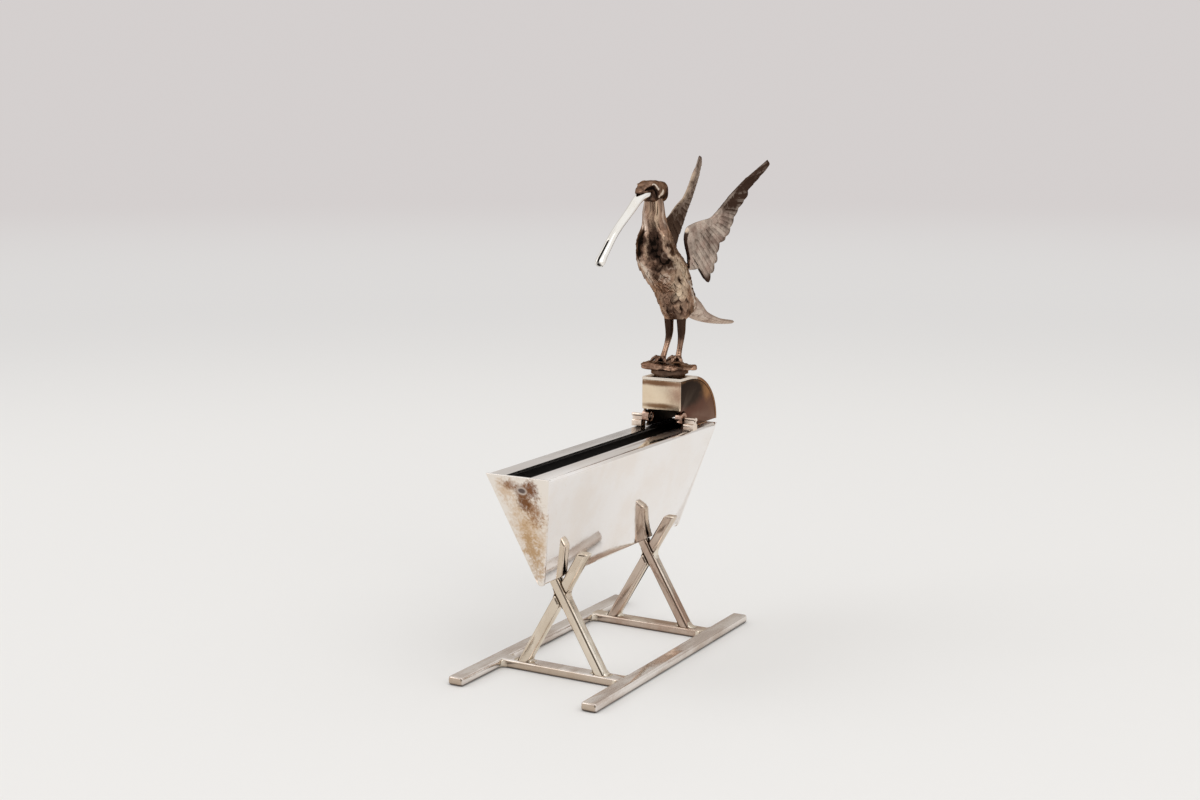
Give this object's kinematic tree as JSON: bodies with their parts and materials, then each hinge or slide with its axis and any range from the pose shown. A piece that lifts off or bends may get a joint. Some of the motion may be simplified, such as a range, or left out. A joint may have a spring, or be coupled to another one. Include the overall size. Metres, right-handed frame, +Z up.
{
  "type": "toothpick holder",
  "caption": "Toothpick holder: a V-shaped trough with a slotted top on crossed legs and runners, and a long-billed bird on a hinged lid that tips to lift out one pick.",
  "frame": {"origin": "middle of the whole holder's footprint, on the surface that it stands on", "axes": "+X along the trough from its front end to the bird's end, so the bird looks towards -X; +Y to the left as seen from the front end; +Z up"},
  "size_m": [0.1142, 0.0412, 0.1247],
  "materials": {
    "trough_silver": "polished silver with light tarnish",
    "bar_silver": "worn polished silver bar",
    "lid_silver": "polished silver with brown tarnish",
    "hinge_silver": "worn silver",
    "bird_silver": "cast and chased silver, oxidised",
    "wing_silver": "chased silver, oxidised",
    "beak_silver": "bright polished silver"
  },
  "bodies": {
    "stand": {"runner_left": "bar_silver", "runner_right": "bar_silver", "crossbar_front": "bar_silver", "crossbar_rear": "bar_silver", "front_frame_strip_a": "bar_silver", "front_frame_strip_b": "bar_silver", "rear_frame_strip_a": "bar_silver", "rear_frame_strip_b": "bar_silver", "trough_sheet": "trough_silver", "end_plate_front": "trough_silver", "end_plate_rear": "trough_silver", "hinge_bracket_left": "hinge_silver", "hinge_bracket_right": "hinge_silver", "hinge_pin_left": "hinge_silver", "hinge_pin_right": "hinge_silver"},
    "bird": {"lid_knuckle_left": "hinge_silver", "lid_knuckle_right": "hinge_silver", "lid_back_sheet": "lid_silver", "lid_front_plate": "lid_silver", "lid_cheek_left": "lid_silver", "lid_cheek_right": "lid_silver", "perch_disc": "bird_silver", "fixing_stud": "hinge_silver", "fixing_nut": "hinge_silver", "rock_base": "bird_silver", "leg_left": "bird_silver", "leg_right": "bird_silver", "bird_body": "bird_silver", "bird_head": "bird_silver", "bird_beak": "beak_silver", "wing_left": "wing_silver", "wing_right": "wing_silver", "bird_tail": "wing_silver"}
  },
  "joints": [
    {"name": "bird_tilt", "type": "hinge", "parent": "stand", "child": "bird", "pos_m": [0.01605, 0, 0.0563], "axis": [0, -1, 0], "range_deg": [0, 70]}
  ]
}
